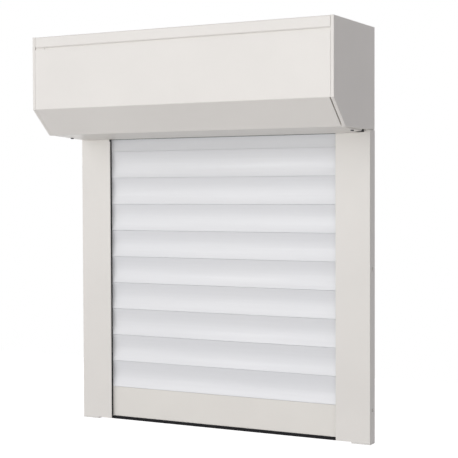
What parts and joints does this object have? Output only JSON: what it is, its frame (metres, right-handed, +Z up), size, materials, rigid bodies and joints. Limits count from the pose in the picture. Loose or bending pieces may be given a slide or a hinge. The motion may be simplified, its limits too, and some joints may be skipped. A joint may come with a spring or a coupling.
{
  "type": "exterior roller shutter",
  "caption": "Motorised exterior roller shutter: chamfered casing, two guide rails and a curtain of hollow slats with a bottom bar.",
  "frame": {"origin": "on the sill line, in the middle of the width and of the depth", "axes": "+X to the right seen from outdoors, +Y from outdoors to the wall, +Z up"},
  "size_m": [0.61, 0.18, 0.7361],
  "materials": {
    "casing_white": "satin powder coat, cream white",
    "end_cap_white": "satin powder coat on a casting, cream white",
    "rail_white": "satin powder coat, cream white",
    "slat_white": "smooth stove enamel, cool white",
    "black_rubber": "matt",
    "black_plastic": "fine grain",
    "white_plastic": "fine grain",
    "grey_plastic": "fine grain",
    "dark_screw": "blackened",
    "rivet_metal": "as rolled",
    "zinc_steel": "zinc plated",
    "spring_steel": "blued",
    "bearing_steel": "ground",
    "motor_steel": "grey paint"
  },
  "bodies": {
    "frame": {"box_upper_shell": "casing_white", "inspection_cover": "casing_white", "end_cap_left": "end_cap_white", "end_cap_right": "end_cap_white", "guide_rail_left": "rail_white", "guide_rail_right": "rail_white", "front_seal_left": "black_rubber", "front_seal_right": "black_rubber", "rear_seal_left": "black_rubber", "rear_seal_right": "black_rubber", "cable_bush": "black_rubber", "run_in_funnel_left": "black_plastic", "run_in_funnel_right": "black_plastic", "exit_brush": "black_plastic", "guide_foot_left": "white_plastic", "guide_foot_right": "white_plastic", "motor_head": "grey_plastic", "cover_screws": "dark_screw", "shell_rivets": "rivet_metal", "bearing_bracket": "zinc_steel", "motor_bracket": "zinc_steel", "bracket_screws": "zinc_steel", "hanger_strap_left": "spring_steel", "hanger_strap_right": "spring_steel", "bearing_outer_ring": "bearing_steel", "motor_body": "motor_steel"},
    "curtain": {"slat_01": "slat_white", "slat_02": "slat_white", "slat_03": "slat_white", "slat_04": "slat_white", "slat_05": "slat_white", "slat_06": "slat_white", "slat_07": "slat_white", "slat_08": "slat_white", "slat_09": "slat_white", "slat_10": "slat_white", "slat_end_clips": "white_plastic", "bottom_bar": "rail_white", "bottom_bar_end_plugs": "white_plastic", "bottom_weight": "zinc_steel", "bottom_seal": "black_rubber", "strap_clips": "zinc_steel"},
    "winding_shaft": {"winding_tube": "zinc_steel", "tube_screws": "zinc_steel", "idler_plug": "grey_plastic", "idler_pin": "bearing_steel", "bearing_inner_ring": "bearing_steel", "drive_adaptor": "grey_plastic", "motor_output_shaft": "bearing_steel", "limit_crown": "black_plastic"},
    "ball_cage": {"bearing_cage": "grey_plastic", "bearing_balls": "bearing_steel"}
  },
  "joints": [
    {"name": "curtain_lift", "type": "slide", "parent": "frame", "child": "curtain", "axis": [0, 0, 1], "range_m": [0, 0.14], "deforming": ["hanger_strap_left", "hanger_strap_right"]},
    {"name": "shaft_turn", "type": "hinge", "parent": "frame", "child": "winding_shaft", "pos_m": [0, -0.002, 0.647], "axis": [1, 0, 0], "range_deg": [0, 223]},
    {"name": "cage_turn", "type": "hinge", "parent": "frame", "child": "ball_cage", "pos_m": [0, -0.002, 0.647], "axis": [1, 0, 0], "range_deg": [0, 90]}
  ],
  "couplings": [
    {"joint": "shaft_turn", "follows": "curtain_lift", "rad_per_m": 27.78},
    {"joint": "cage_turn", "follows": "curtain_lift", "rad_per_m": 11.112}
  ]
}
